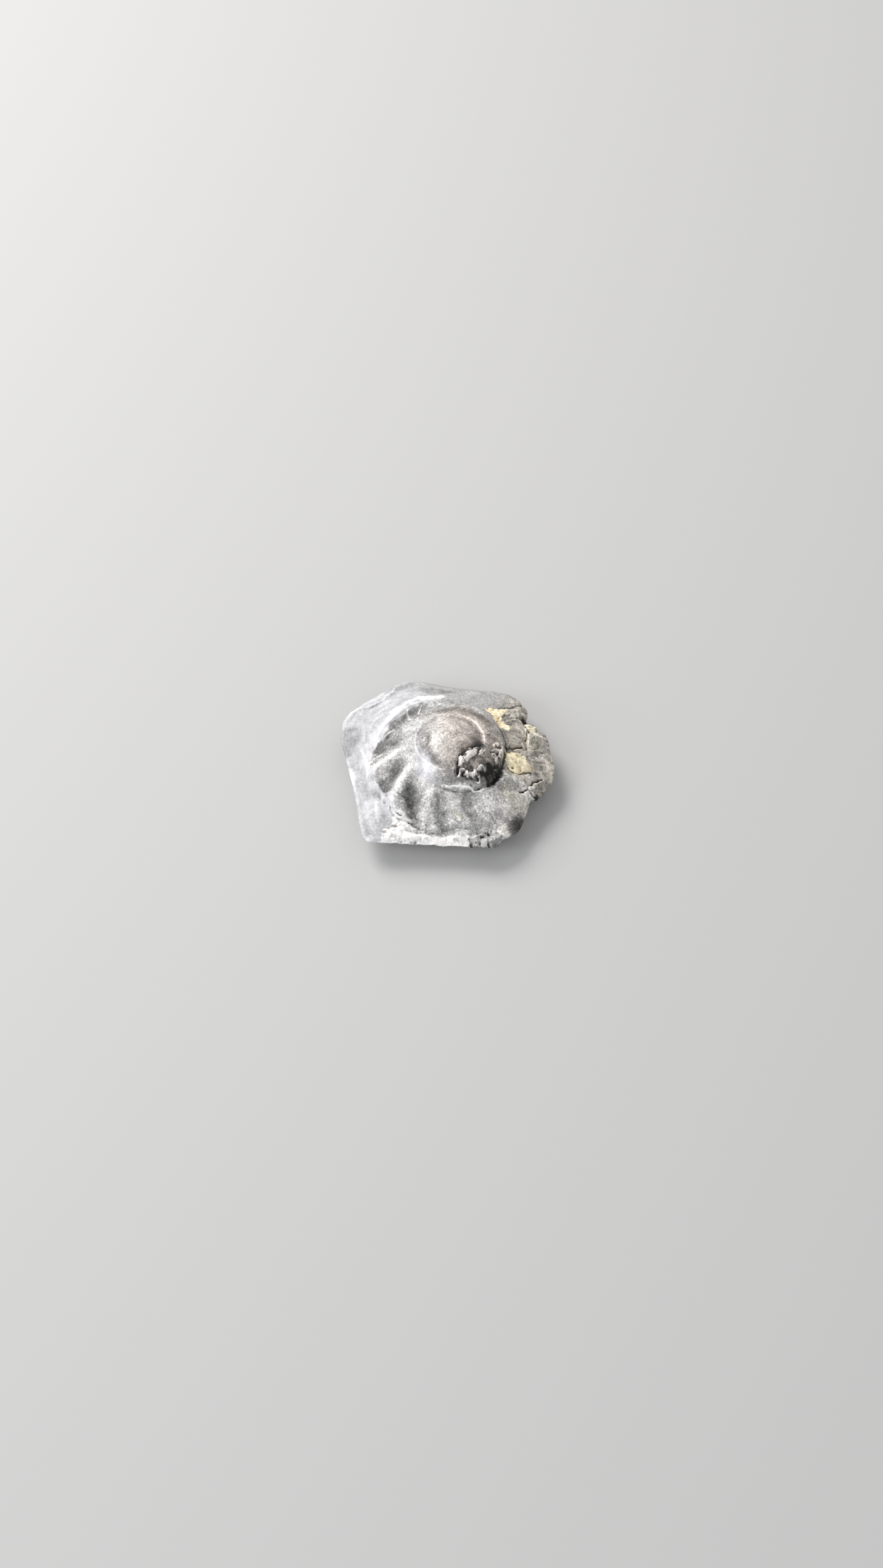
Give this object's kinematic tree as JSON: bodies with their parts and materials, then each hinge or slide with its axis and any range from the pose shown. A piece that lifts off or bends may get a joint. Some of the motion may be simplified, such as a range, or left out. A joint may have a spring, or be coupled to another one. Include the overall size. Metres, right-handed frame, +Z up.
{
  "type": "fossil ammonite",
  "caption": "Small broken piece of grey stone with the raised cast of a stepped, ribbed, coiled shell on its top and a flat underside.",
  "frame": {"origin": "middle of the flat underside, under the middle of the stone's box", "axes": "+X to the right along the stone's longer side, +Y to the back, +Z up through the coil"},
  "size_m": [0.0366, 0.0346, 0.0143],
  "materials": {
    "fossil_stone": "matt grey limestone: dark speckled shell, pale bluish flank, chalk-white front edge, yellow clay patches at the right"
  },
  "bodies": {
    "root": {"fossil_in_stone": "fossil_stone"}
  },
  "joints": []
}
